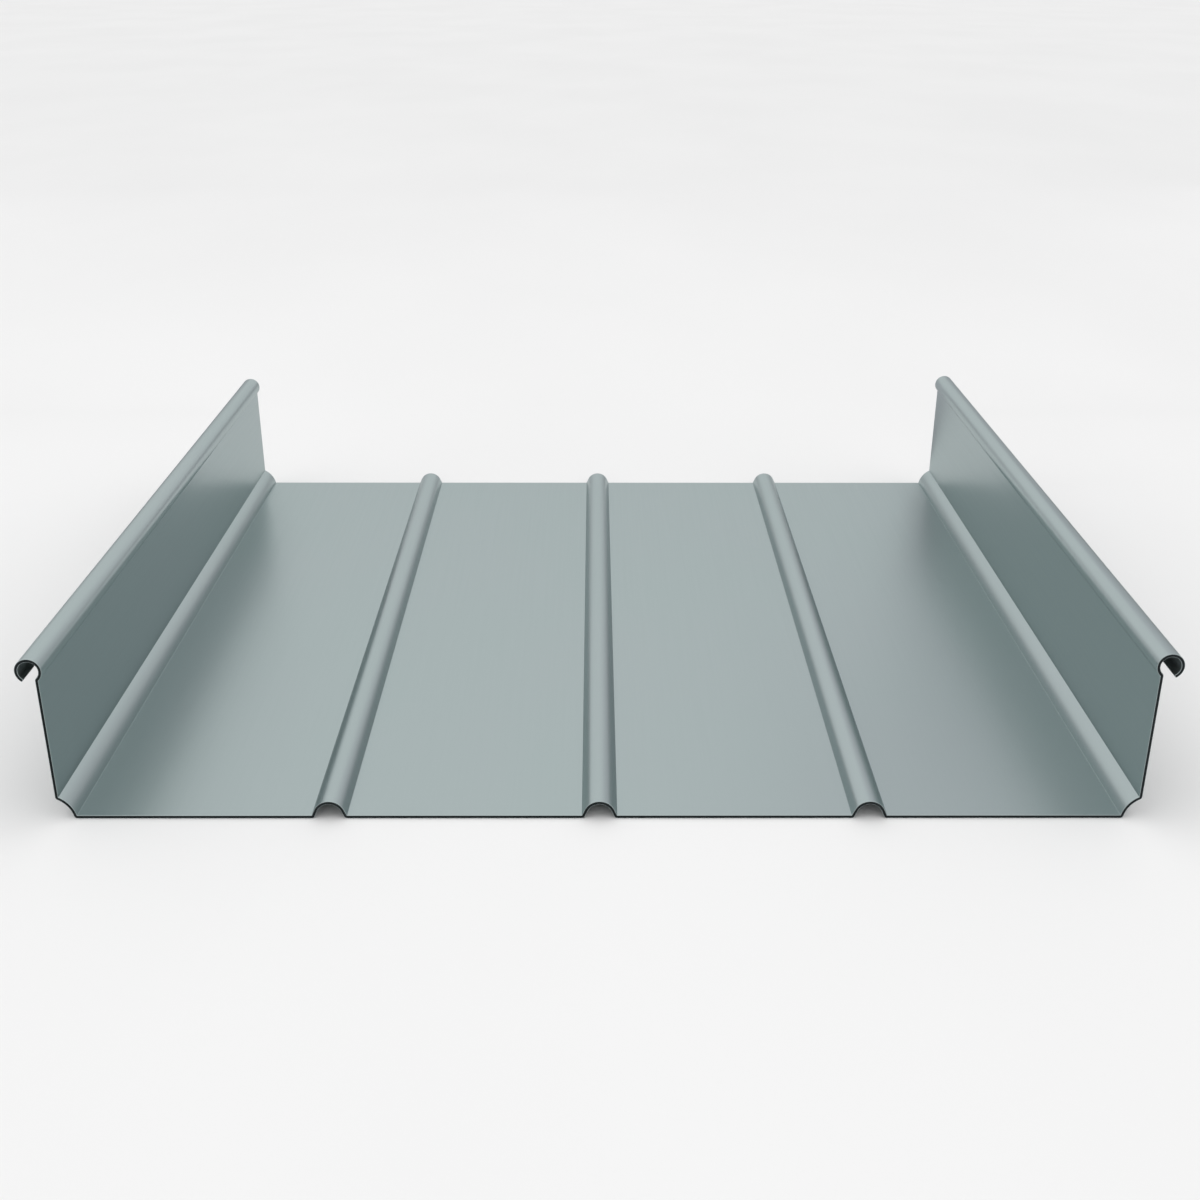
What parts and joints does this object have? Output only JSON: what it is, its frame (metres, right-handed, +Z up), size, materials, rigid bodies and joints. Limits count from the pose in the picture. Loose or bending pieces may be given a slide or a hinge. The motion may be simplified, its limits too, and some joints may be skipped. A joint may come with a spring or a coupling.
{
  "type": "standing seam roof sheet",
  "caption": "Short length of roll-formed metal roof sheet: ribbed flat pan, upright web at each side, each web topped by a rolled seam bead.",
  "frame": {"origin": "on the underside of the pan, at the middle of the sheet's length and of its outline across", "axes": "+X across the sheet towards the large seam, +Y along the sheet, +Z up, from the pan towards the seams"},
  "size_m": [0.4097, 0.38, 0.066],
  "materials": {
    "sheet_metal": "satin"
  },
  "bodies": {
    "root": {"standing_seam_sheet": "sheet_metal"}
  },
  "joints": []
}
